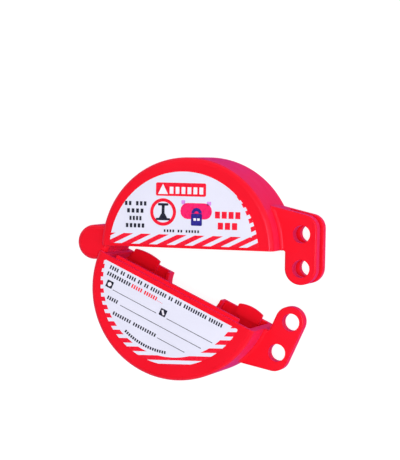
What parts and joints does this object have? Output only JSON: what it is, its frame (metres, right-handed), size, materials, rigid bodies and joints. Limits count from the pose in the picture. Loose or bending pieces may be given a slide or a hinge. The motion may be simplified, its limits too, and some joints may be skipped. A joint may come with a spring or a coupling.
{
  "type": "gate valve lockout",
  "caption": "Hinged round lockout: two half-drum shells close round a valve handwheel, and padlocks through a forked ear and its matching plate keep them shut.",
  "frame": {"origin": "on the drum's axis at the back face, in the middle of the stem opening of the upper (fixed) shell", "axes": "+Z along the drum's axis, out of the labelled front face; +X towards the padlock ears; +Y towards the top of the upper shell"},
  "size_m": [0.1116, 0.1008, 0.0337],
  "materials": {
    "shell_red": "glossy injection-moulded polypropylene, safety red",
    "pin_steel": "zinc-plated steel",
    "label_vinyl": "printed vinyl sticker, semi-gloss"
  },
  "bodies": {
    "upper_shell_body": {"upper_shell": "shell_red", "upper_label": "label_vinyl", "hinge_pin": "pin_steel"},
    "lower_shell_body": {"lower_shell": "shell_red", "lower_label": "label_vinyl"}
  },
  "joints": [
    {"name": "shell_hinge", "type": "hinge", "parent": "upper_shell_body", "child": "lower_shell_body", "pos_m": [-0.0461, 0.00135, 0.01675], "axis": [0, 0, 1], "range_deg": [-155.8, 24.2]}
  ]
}
